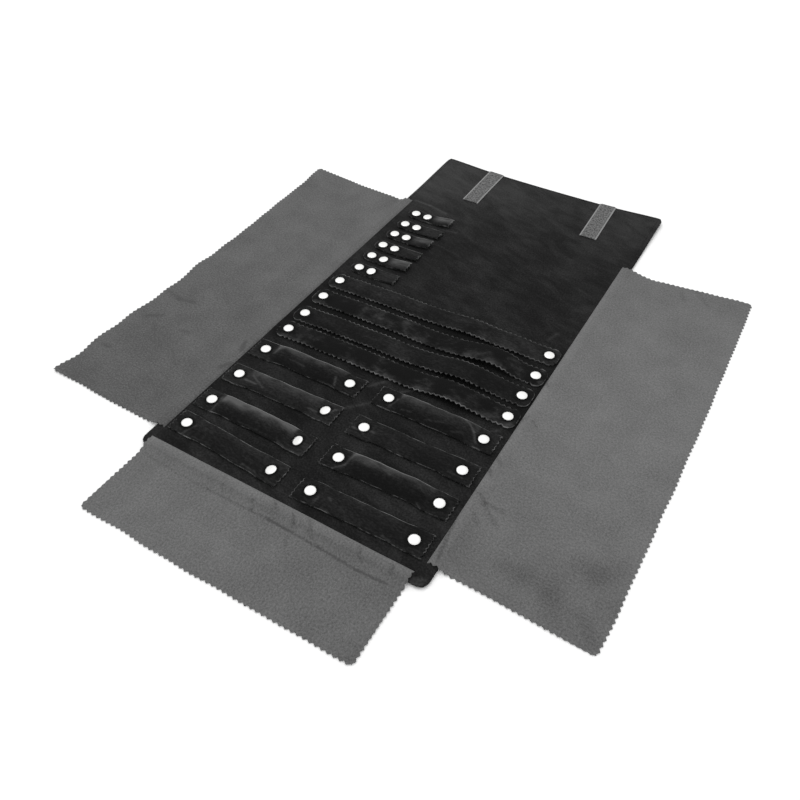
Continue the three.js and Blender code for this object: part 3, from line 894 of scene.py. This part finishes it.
class Strap:
    """A velvet strap laid flat along u from its fixed end, with v across it. The kinds of strap
    say where their snaps are, how they are cut, how they lie, how their pile is turned and where
    highlights and shade are painted on them."""

    bend = 3.5 * MM
    is_pale_rim = True

    def __init__(self, name, sizes):
        self.name = name
        self.seed = sum(map(ord, name)) * 0.37
        self.column, row = name.rsplit("_", 1)
        self.row = int(row)
        self.thickness, self.band, self.depth = sizes.strap_thickness, sizes.cut_edge, sizes.strap_notch
        fixed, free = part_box(f"{name}_anchor"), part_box(name)
        self.way = 1 if free[1].x > fixed[1].x else -1
        ends = (fixed[0].x, free[1].x) if self.way > 0 else (fixed[1].x, free[0].x)
        self.start = Vector((ends[0], (fixed[0].y + fixed[1].y) / 2, LINING_TOP))
        self.length = abs(ends[1] - ends[0])
        self.half = (fixed[1].y - fixed[0].y) / 2
        self.snaps = self.place_snaps()
        self.us, self.vs = self.lines()

    def place_snaps(self):
        """Where the fixed snap and the free snap are along the strap."""
        return self.snap_inset, self.length - self.snap_inset

    def lines(self):
        """Grid lines along the strap and across it, four to each tooth of its pinked ends."""
        us = [0, *grid_lines(self.band, self.length - self.band, self.step), self.length]
        inner = self.half - self.band
        self.pitch = 2 * inner / round(2 * inner / self.pitch)
        return us, [-self.half, *grid_lines(-inner, inner, self.pitch / 4), self.half]

    def tooth(self, v):
        """How far a pinked end lies inside its line."""
        return notch(v + self.half - self.band, self.pitch, self.depth)

    def is_border(self, i, j):
        """Whether a cell of the grid lies along a cut edge."""
        return i in (0, len(self.us) - 2) or j in (0, len(self.vs) - 2)

    def from_snap(self, u, v):
        """Distance to the nearest snap."""
        return min(math.hypot(u - snap, v) for snap in self.snaps)

    def stack(self, u, v):
        """How the snaps hold the strap off the lining round them, and how the free one tips it."""
        held = math.exp(-((self.from_snap(u, v) / SNAP_REACH) ** 4))
        along, across = TIPPED.get(self.name, (0.0, 0.0))
        run = u - self.snaps[1]
        tipped = (along * run + across * v) * math.exp(-((math.hypot(run, v) / SNAP_REACH) ** 4))
        return between(STRAP_REST, SNAP_LIFT, held) + tipped

    def ring(self, u, v):
        """A painted shadow, dark round each snap's cap."""
        return -0.4 * bump(SNAP_RING, 1.1 * MM, self.from_snap(u, v))

    def away(self, v):
        """-1 at the strap's foot edge to 1 at its head edge."""
        return self.way * v / self.half

    def drawn(self, u):
        """Share of its width that the strap loses where it arches."""
        return 0.0

    def sway(self, u):
        """How far the strap wanders sideways."""
        return 0.0

    def point(self, u, v):
        """Where a flat point of the strap's face lies."""
        first, second = self.snaps
        drift = between(*DRIFT[self.column][self.row - 1], (u - first) / (second - first)) * MM
        across = self.way * v * (1 - self.drawn(u)) + drift + self.sway(u)
        return self.start + Vector((self.way * u, across, self.height(u, v) + self.thickness))

    def facing(self, u):
        """How a snap on the strap's middle line is turned out of the upright."""
        near = 2 * MM
        along = self.point(u + near, 0) - self.point(u - near, 0)
        across = self.point(u, near) - self.point(u, -near)
        return UP.rotation_difference(along.cross(across)).to_matrix()


class Bracelet(Strap):
    """An arched strap between flat end tabs. Its head edge stands up and its foot edge lies low."""

    snap_inset = 13.5 * MM
    pitch = 4.4 * MM
    step = 1.4 * MM
    tab = 19 * MM
    ramp = 15 * MM
    is_pale_rim = False

    # How high each arch stands, in millimetres, how bright the painted highlight on its crest is and how
    # far its pile is turned
    looks = {
        "left_1": (2.2, 0.15, -0.02), "left_2": (5.0, 2.3, -0.02), "left_3": (1.8, 0.5, 0.02),
        "left_4": (5.4, 0.9, -0.03), "right_1": (2.2, 0.12, -0.05), "right_2": (5.0, 0.9, -0.05),
        "right_3": (1.8, 0.08, -0.05), "right_4": (5.4, 0.6, -0.06),
    }

    # How far a fold reaches and where pale lines run along each strap's folds, in millimetres, and how
    # pale: turned pile with a painted highlight on the fold's ridge
    fold_reach = 1.1
    folds = {
        "left_1": (
            (17, -13, 23, 2, 0.24), (88, -9, 103, -10, 0.24), (29, -10, 50, -10, 0.13),
            (84, -2, 95, -4, 0.16),
        ),
        "left_2": (
            (22, -12, 20, 8, 0.32), (99, -11, 112, -13, 0.32), (114, -12, 124, -12, 0.24),
            (52, -10, 98, -10, 0.13),
        ),
        "left_3": (
            (23, -3, 36, -4, 0.56), (27, 5, 45, -5, 0.32), (99, -5, 108, -4, 0.32),
            (120, -1, 123, 6, 0.48),
        ),
        "left_4": (
            (25, -1, 26, 8, 0.4), (46, -3, 64, -4, 0.24), (85, -12, 103, -12, 0.24),
            (102, -9, 99, -1, 0.48),
        ),
        "right_1": (
            (106, 10, 105, 1, 0.24), (97, 11, 88, 12, 0.24), (38, 10, 30, 12, 0.24),
            (96, -2, 93, 0, 0.32),
        ),
        "right_2": (
            (113, 12, 105, 4, 0.32), (105, 4, 104, -7, 0.32), (30, 10, 25, 13, 0.32),
            (86, -9, 63, -4, 0.24),
        ),
        "right_3": ((110, 1, 103, 1, 0.4), (124, 4, 111, 6, 0.48), (24, 7, 10, 7, 0.19)),
        "right_4": (
            (38, -12, 25, -3, 0.48), (25, -3, 18, 7, 0.4), (18, 12, 11, 13, 0.32),
            (106, -4, 109, 9, 0.32), (97, 8, 86, 6, 0.24), (70, 7, 53, 3, 0.19), (43, 8, 33, 5, 0.24),
        ),
    }

    def __init__(self, name, sizes):
        place = name.removeprefix("bracelet_strap_")
        crest, self.gloss, self.tone = self.looks[place]
        self.crest, self.folded = crest * MM, self.folds[place]
        super().__init__(name, sizes)

    def flat(self, i, j):
        u, v = self.us[i], self.vs[j]
        if i <= 1 or i >= len(self.us) - 2:
            uneven = 0.75 + 0.7 * ripple(v, u, 6 * MM, self.seed)
            cut = 1.2 * MM if j in (0, len(self.vs) - 1) else self.tooth(v) * uneven
            u -= math.copysign(cut, u - self.length / 2)
        if j <= 1 or j >= len(self.vs) - 2:
            v -= math.copysign(0.5 * MM * (1 + ripple(u, v, 12 * MM, self.seed)), v)
        return u, v

    def swell(self, u):
        """0 on the end tabs, 1 along the arch."""
        return smooth(self.tab, self.tab + self.ramp, min(u, self.length - u))

    def drawn(self, u):
        return 0.09 * self.swell(u)

    def sway(self, u):
        return 0.9 * MM * ripple(u, self.seed, 30 * MM) * smooth(0, 0.5, self.swell(u))

    def height(self, u, v):
        t, arch = (self.away(v) + 1) / 2, self.swell(u)
        rise = math.sin(min(t / 0.8, 1) * math.pi / 2) - 0.4 * smooth(0.78, 1, t)
        puckers = 0.3 * MM * ripple(u, v * 0.4, 11 * MM, self.seed)
        loose = smooth(6 * MM, 10 * MM, self.from_snap(u, v))
        crumpled = max(0.5 * MM * ripple(u, v, 8 * MM, self.seed + 2) * loose, -0.6 * STRAP_REST)
        return self.stack(u, v) + arch * (self.crest * rise + puckers) + (1 - arch) * crumpled

    def nap(self, u, v):
        t, arch = (self.away(v) + 1) / 2, self.swell(u)
        left = u / self.length if self.way > 0 else 1 - u / self.length
        # Painted highlight on the arch's crest, broken into streaks, and a thin painted highlight along
        # the head edge's lip
        lit = self.gloss * (1 - 0.75 * left) * smooth(0.45, 1, t) * smooth(0, 0.3, arch)
        highlight_streaks = 0.8 + 0.9 * ripple(u * 0.6, v, 7 * MM, self.seed + 7)
        lip = 0.5 * self.gloss * smooth(0.9, 1, t) * arch
        # Painted shade on the arch's near slope and along the low foot edge
        shaded = 0.2 * min(self.gloss, 0.8) * arch * (1 - smooth(0.1, 0.6, t))
        shaded += 0.2 * (1 - smooth(0, 0.06, t))
        # Pale fold lines: turned pile with a painted highlight on each ridge
        fold = creased(u, v, self.folded, self.fold_reach)
        return self.tone + lit * highlight_streaks + lip - shaded + fold + self.ring(u, v)


class RingBar(Strap):
    """A long slack bar with round ends and pinked edges, humped towards its free end."""

    snap_inset = 10.5 * MM
    pitch = 5.5 * MM
    corner = 9 * MM
    hump_reach = 25 * MM
    sag_before = 60 * MM
    rest = 0.5 * MM
    head_rim = 0.36

    # Where each row's bar is humped and how high, in millimetres, how far its pile is smudged, how pale
    # its foot edge is and how far its pile is turned
    looks = {
        1: (204, 3.6, 0.36, 0.34, -0.18), 2: (200, 3.8, 0.1, 0.14, -0.08),
        3: (212, 4.4, 0.36, 0.18, -0.14), 4: (176, 1.6, 0.12, 0.14, -0.03),
    }

    def __init__(self, name, sizes):
        super().__init__(name, sizes)
        hump_at, hump, self.fuzz, self.foot_rim, self.tone = self.looks[self.row]
        self.hump_at, self.hump = hump_at * MM, hump * MM

    def lines(self):
        end = [0, self.band, *grid_lines(1.5 * MM, self.corner, 1.5 * MM)]
        straight = self.length - 2 * self.corner
        self.pitch = straight / round(straight / self.pitch)
        middle = grid_lines(self.corner, self.length - self.corner, self.pitch / 2)[1:-1]
        us = [*end, *middle, *[self.length - u for u in reversed(end)]]
        inner = self.half - self.band
        return us, [-self.half, *grid_lines(-inner, inner, 2 * MM), self.half]

    def flat(self, i, j):
        u, v = self.us[i], self.vs[j]
        inner = self.half - self.corner
        if self.corner < u < self.length - self.corner:
            if j <= 1 or j >= len(self.vs) - 2:
                v -= math.copysign(notch(u - self.corner, self.pitch, self.depth), v)
            return u, v
        side = -1 if u < self.length / 2 else 1
        centre = self.corner if side < 0 else self.length - self.corner
        du, dv = rounded(side * (u - centre), abs(v) - inner, self.corner)
        return centre + side * du, math.copysign(dv + inner, v)

    def slack(self, u):
        """0 on the ends, 1 along the slack length."""
        return smooth(18 * MM, 40 * MM, min(u, self.length - u))

    def sway(self, u):
        lifted = 0.4 * self.hump * bump(self.hump_at, 28 * MM, u)
        sagged = 0.3 * self.hump * bump(self.hump_at - self.sag_before, 30 * MM, u)
        return self.slack(u) * (lifted - sagged + 0.8 * MM * ripple(u, self.seed, 30 * MM))

    def height(self, u, v):
        hump = self.hump * bump(self.hump_at, self.hump_reach, u)
        waves = 0.9 * MM * max(0.35 + ripple(u, v * 0.5, 30 * MM, self.seed), 0)
        crown = 0.8 * MM * (1 - self.away(v) ** 2)
        return self.stack(u, v) + self.slack(u) * (self.rest + hump + waves + crown)

    def nap(self, u, v):
        away = self.away(v)
        smudge = ripple(u, v, 16 * MM, self.seed + 4) + 0.7 * ripple(u, v, 5 * MM, self.seed + 6)
        foot_edge = 0.6 * smooth(0.3, 0.95, -away) * (0.7 + ripple(u, 0, 18 * MM, self.seed + 8))
        rim = (self.head_rim if away > 0 else self.foot_rim) * smooth(0.84, 0.96, abs(away))
        return self.tone + self.fuzz * (smudge + foot_edge) + rim + self.ring(u, v)


class Necklace(Strap):
    """A short strap with a round fixed end, two snaps close together and a pinked loose tail."""

    bend = 2 * MM
    snap_inset = 10 * MM
    snap_spacing = 16 * MM
    pitch = 6 * MM
    step = 1.6 * MM
    tail = 3.4 * MM

    @property
    def is_lit(self):
        """Whether the tail stands up to the light, as every second one does."""
        return self.row % 2 == 0

    def place_snaps(self):
        return self.snap_inset, self.snap_inset + self.snap_spacing

    def loose(self, u):
        """0 up to the second snap, 1 at the tail's end."""
        return smooth(self.snaps[1] + 5 * MM, self.length, u)

    def flat(self, i, j):
        u, v = self.us[i], self.vs[j]
        if i >= len(self.us) - 2:
            u -= self.tooth(v)
        if u < self.half:
            du, dv = rounded(self.half - u, abs(v), self.half)
            return self.half - du, math.copysign(dv, v)
        return u, v

    def drawn(self, u):
        return 0.16 * self.loose(u)

    def height(self, u, v):
        rise = self.tail * (1.15 if self.is_lit else 0.6)
        curl = 1.2 * MM * min(self.away(v), 0) ** 2
        uneven = 0.5 * MM * ripple(u, v, 9 * MM, self.seed)
        return self.stack(u, v) + self.loose(u) * (rise - curl + uneven)

    def nap(self, u, v):
        # Painted highlight on the tails that stand up to the light, broken into streaks, a faint one on
        # the others, and painted shade along the foot edge
        share = smooth(self.snaps[1] + 5 * MM, self.snaps[1] + 14 * MM, u)
        t = (self.away(v) + 1) / 2
        brushed_and_lit = smooth(0.1, 0.75, t) * (0.75 + 0.6 * ripple(u * 0.5, v, 5 * MM, self.seed))
        rim = -0.3 * (1 - smooth(0, 0.08, t))
        return share * (0.75 * brushed_and_lit if self.is_lit else 0.1 * t) + rim + self.ring(u, v)


KINDS = {"bracelet": Bracelet, "ring": RingBar, "necklace": Necklace}


def strap_of(name, sizes):
    """The strap of a name."""
    return KINDS[name.split("_")[0]](name, sizes)


def cut_from_bolt(cloth, strap):
    """Gives a strap its own place on the bolt of cloth, so that no two have the same patches. The
    patches are drawn out along the strap, the way that it is handled."""
    place = strap.start * BOLT_SPREAD
    for corner in cloth.data.uv_layers["flat"].data:
        corner.uv = (corner.uv.x * 0.5 + place.x, corner.uv.y + place.y)


def make_straps(names, context):
    """Velvet straps, from fixed end to free end."""
    sizes, colours = context.scene.roll_sizes, context.scene.roll_colours
    velvets = material(cut_velvet, colours), material(velvet_edge, colours)
    for name in names:
        strap = strap_of(name, sizes)
        columns, rows = len(strap.us) - 1, len(strap.vs) - 1
        sheet = lay_sheet(columns, rows, strap.flat, strap.point, strap.is_border, strap.nap)
        cloth = add_piece(f"velvet_{name}", sheet, *velvets)
        cut_from_bolt(cloth, strap)
        nodes, flat = (name, f"{name}_anchor"), (2 * strap.half, strap.length)
        rim = int(strap.is_pale_rim)
        finish_cloth(cloth, strap.thickness, nodes, flat, "lining", rim)
        hinge, reach = Vector(HINGES[f"{name}_open"]), Vector((strap.way * strap.bend, 0, 0))
        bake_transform(cloth)


class ROLL_OT_bracelet_straps(bpy.types.Operator):
    """Make the eight arched bracelet straps"""

    bl_idname = "jewelry_roll.bracelet_straps"
    bl_label = "Bracelet straps"

    def execute(self, context):
        make_straps(BRACELETS, context)
        return {"FINISHED"}


class ROLL_OT_ring_bars(bpy.types.Operator):
    """Make the four long ring bars"""

    bl_idname = "jewelry_roll.ring_bars"
    bl_label = "Ring bars"

    def execute(self, context):
        make_straps(RING_BARS, context)
        return {"FINISHED"}


class ROLL_OT_necklace_straps(bpy.types.Operator):
    """Make the six short necklace straps"""

    bl_idname = "jewelry_roll.necklace_straps"
    bl_label = "Necklace straps"

    def execute(self, context):
        make_straps(NECKLACES, context)
        return {"FINISHED"}


# Snaps

SNAP_STEPS = 32
SOCKET_SHARE = 0.8
SOCKET_HEIGHT = 1.1 * MM
STUD_HEIGHT = 0.7 * MM

# Half sections of a domed cap with a rolled rim, of a flat socket with a round recess, and of a stud
# with a flat base and a small round knob, each in shares of its radius and its height
CAP = (
    (0, 1), (0.35, 0.98), (0.62, 0.92), (0.8, 0.8), (0.92, 0.58), (0.98, 0.32), (1, 0.08),
    (0.97, -0.1), (0, -0.12),
)
SOCKET = ((0, 0.45), (0.45, 0.45), (0.5, 0.05), (0.6, 0), (0.92, 0), (1, 0.15), (1, 1), (0, 1))
STUD = (
    (0, 1), (0.3, 0.95), (0.42, 0.7), (0.4, 0.5), (0.55, 0.42), (0.92, 0.36), (1, 0.2), (1, -0.3),
    (0, -0.3),
)


def turn_profile(mesh, profile, radius, height, centre, facing):
    """Turns a half section into a round piece of a radius and a height, which faces a way."""
    section = [Vector((radius * out, 0, height * up)) for out, up in profile]
    points = [mesh.verts.new(centre + facing @ place) for place in section]
    edges = [mesh.edges.new(pair) for pair in zip(points, points[1:])]
    bmesh.ops.spin(
        mesh, geom=points + edges, cent=centre, axis=facing @ UP, angle=2 * math.pi,
        steps=SNAP_STEPS, use_merge=True,
    )


def finish_metal(name, mesh, colours, body):
    """Closes turned metal and lets it ride on a body."""
    bmesh.ops.remove_doubles(mesh, verts=mesh.verts, dist=0.001 * MM)
    bmesh.ops.recalc_face_normals(mesh, faces=mesh.faces)
    metal = shade(add_piece(name, mesh, material(polished_nickel, colours)), sharp=50)
    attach(metal, body)


class ROLL_OT_snaps(bpy.types.Operator):
    """Make the snaps: caps with sockets on every strap, and studs on the lining"""

    bl_idname = "jewelry_roll.snaps"
    bl_label = "Snaps"

    def execute(self, context):
        sizes, colours = context.scene.roll_sizes, context.scene.roll_colours
        socket_radius = SOCKET_SHARE * sizes.cap_radius
        fixed, studs = bmesh.new(), bmesh.new()
        for name in (*BRACELETS, *RING_BARS, *NECKLACES):
            strap = strap_of(name, sizes)
            free = bmesh.new()
            for snap, mesh in zip(strap.snaps, (fixed, free)):
                seat, facing = strap.point(snap, 0), strap.facing(snap)
                turn_profile(mesh, CAP, sizes.cap_radius, sizes.cap_height, seat, facing)
                under = seat - facing @ UP * (strap.thickness + 0.9 * SOCKET_HEIGHT)
                turn_profile(mesh, SOCKET, socket_radius, SOCKET_HEIGHT, under, facing)
            finish_metal(f"free_snap_{name}", free, colours, name)
            below_free = Vector((seat.x, seat.y, LINING_TOP))
            turn_profile(studs, STUD, socket_radius, STUD_HEIGHT, below_free, Matrix.Identity(3))
        finish_metal("fixed_snaps", fixed, colours, "panel")
        finish_metal("snap_studs", studs, colours, "panel")
        return {"FINISHED"}


# Tapes

TAPE_STEP = 0.75 * MM

# Each kind of tape: its body, what it lies on, its thickness, the height of its pile, and 1 where it
# faces up or -1 where it faces down
TAPES = {
    "hook": ("closing_end", "closing_lining", 0.8 * MM, 0.9 * MM, 1),
    "loop": ("panel", "outer_cover", 0.5 * MM, 0.3 * MM, -1),
}

# How far each hook tape is sewn to the right at its head end and at its foot end, in millimetres
TAPE_DRIFT = {"hook_tape_left": (2.0, 2.8), "hook_tape_right": (2.3, 5.5)}


def make_tape(kind, side, sizes, colours):
    """A length of pile tape with woven selvedges, laid on the panel or pressed into its back."""
    name = f"{kind}_tape_{side}"
    body, under, base, hook, way = TAPES[kind]
    low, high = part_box(name)
    flat = (high.x - low.x, high.y - low.y)
    band = sizes.selvedge
    us = grid_lines(low.x, high.x, TAPE_STEP, low.x + band, high.x - band)
    vs = grid_lines(low.y, high.y, TAPE_STEP)

    def from_side(x):
        return min(x - low.x, high.x - x)

    def lie(x, y):
        pile = hook * smooth(band * 0.8, band * 1.3, from_side(x))
        tips = 0.55 + 0.45 * ripple(x, y, 1.3 * MM, 5.0)
        sewn_x = x + between(*TAPE_DRIFT.get(name, (0.0, 0.0)), (high.y - y) / flat[1]) * MM
        drawn, lift = panel_shift(sewn_x, y, sizes) if way > 0 else (0.0, 0.0)
        bed = lining_height(x, y, sizes) if way > 0 else TAPE_BED
        return Vector((sewn_x, y + drawn, bed + lift + way * (base + pile * tips)))

    def is_border(i, j):
        return from_side((us[i] + us[i + 1]) / 2) < band

    sheet = lay_sheet(len(us) - 1, len(vs) - 1, lambda i, j: (us[i], vs[j]), lie, is_border)
    if way < 0:
        bmesh.ops.reverse_faces(sheet, faces=sheet.faces)
    weaves = material(tape_pile, colours), material(tape_selvedge, colours)
    tape = add_piece(f"pile_{name}", sheet, *weaves)
    finish_cloth(tape, base * 0.9, [name], flat, under, rim_material=1)
    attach(tape, body)


class ROLL_OT_tapes(bpy.types.Operator):
    """Make the hook tapes on the closing end and the loop tapes on the back"""

    bl_idname = "jewelry_roll.tapes"
    bl_label = "Closing tapes"

    def execute(self, context):
        for side in ("left", "right"):
            for kind in TAPES:
                make_tape(kind, side, context.scene.roll_sizes, context.scene.roll_colours)
        return {"FINISHED"}


# Stage

CAMERA_TARGET = Vector((30.1 * MM, -90.6 * MM, 0))
CAMERA_DISTANCE = 735.2 * MM
CAMERA_AZIMUTH = 30.88
CAMERA_ELEVATION = 45.89
CAMERA_LENS = 34.28
FLOOR_SIZE = 6.0
KEY_PLACE = Vector((-1.3, 0.9, 3.6))
KEY_SIZE = 2.4
KEY_POWER = 36
WORLD_STRENGTH = 1.0


def place_facing(name, data, location, target):
    """A light or a camera at a place, turned towards a point."""
    thing = bpy.data.objects.new(name, data)
    thing.location = location
    thing.rotation_euler = (target - location).to_track_quat("-Z", "Y").to_euler()
    bpy.context.scene.collection.objects.link(thing)
    return thing


class ROLL_OT_stage(bpy.types.Operator):
    """Make the floor, the soft light and the camera"""

    bl_idname = "jewelry_roll.stage"
    bl_label = "Stage"

    def execute(self, context):
        scene = context.scene
        mesh = bmesh.new()
        bmesh.ops.create_grid(mesh, x_segments=1, y_segments=1, size=FLOOR_SIZE / 2)
        add_piece("floor", mesh, material(floor_paper, scene.roll_colours))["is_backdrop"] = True

        world = bpy.data.worlds.new("soft_surround")
        world.use_nodes = True
        background = world.node_tree.nodes["Background"]
        background.inputs["Color"].default_value = (1, 1, 1, 1)
        background.inputs["Strength"].default_value = WORLD_STRENGTH
        scene.world = world

        light = bpy.data.lights.new("key_light", "AREA")
        light.shape = "DISK"
        light.size = KEY_SIZE
        light.energy = KEY_POWER
        place_facing("key_light", light, KEY_PLACE, Vector((0, 0, 0)))

        lens = bpy.data.cameras.new("camera")
        lens.lens = CAMERA_LENS
        a, e = math.radians(CAMERA_AZIMUTH), math.radians(CAMERA_ELEVATION)
        back = Vector((math.sin(a) * math.cos(e), -math.cos(a) * math.cos(e), math.sin(e)))
        place = CAMERA_TARGET + CAMERA_DISTANCE * back
        scene.camera = place_facing("camera", lens, place, CAMERA_TARGET)
        scene.view_settings.view_transform = "Standard"
        return {"FINISHED"}


class ROLL_PT_sidebar(bpy.types.Panel):
    """Lists the makers and the sizes and colours that they read"""

    bl_idname = "ROLL_PT_sidebar"
    bl_label = "Jewelry roll"
    bl_space_type = "VIEW_3D"
    bl_region_type = "UI"
    bl_category = "Jewelry roll"

    def draw(self, context):
        for maker in MAKERS:
            self.layout.operator(maker.bl_idname)
        for group in (context.scene.roll_sizes, context.scene.roll_colours):
            box = self.layout.box()
            for name in group.__annotations__:
                box.prop(group, name)


MAKERS = (
    ROLL_OT_panel, ROLL_OT_flaps, ROLL_OT_bracelet_straps, ROLL_OT_ring_bars,
    ROLL_OT_necklace_straps, ROLL_OT_snaps, ROLL_OT_tapes, ROLL_OT_stage,
)
CLASSES = (RollSizes, RollColours, *MAKERS, ROLL_PT_sidebar)


def register():
    for cls in CLASSES:
        bpy.utils.register_class(cls)
    bpy.types.Scene.roll_sizes = bpy.props.PointerProperty(type=RollSizes)
    bpy.types.Scene.roll_colours = bpy.props.PointerProperty(type=RollColours)


def unregister():
    del bpy.types.Scene.roll_colours
    del bpy.types.Scene.roll_sizes
    for cls in reversed(CLASSES):
        bpy.utils.unregister_class(cls)


def main():
    register()
    bpy.ops.jewelry_roll.panel()
    bpy.ops.jewelry_roll.flaps()
    bpy.ops.jewelry_roll.bracelet_straps()
    bpy.ops.jewelry_roll.ring_bars()
    bpy.ops.jewelry_roll.necklace_straps()
    bpy.ops.jewelry_roll.snaps()
    bpy.ops.jewelry_roll.tapes()
    bpy.ops.jewelry_roll.stage()
    boxes = {"cad": CAD_BOX, "visual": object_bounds()}
    {name: [list(corner) for corner in box] for name, box in boxes.items()}


if __name__ == "__main__":
    main()
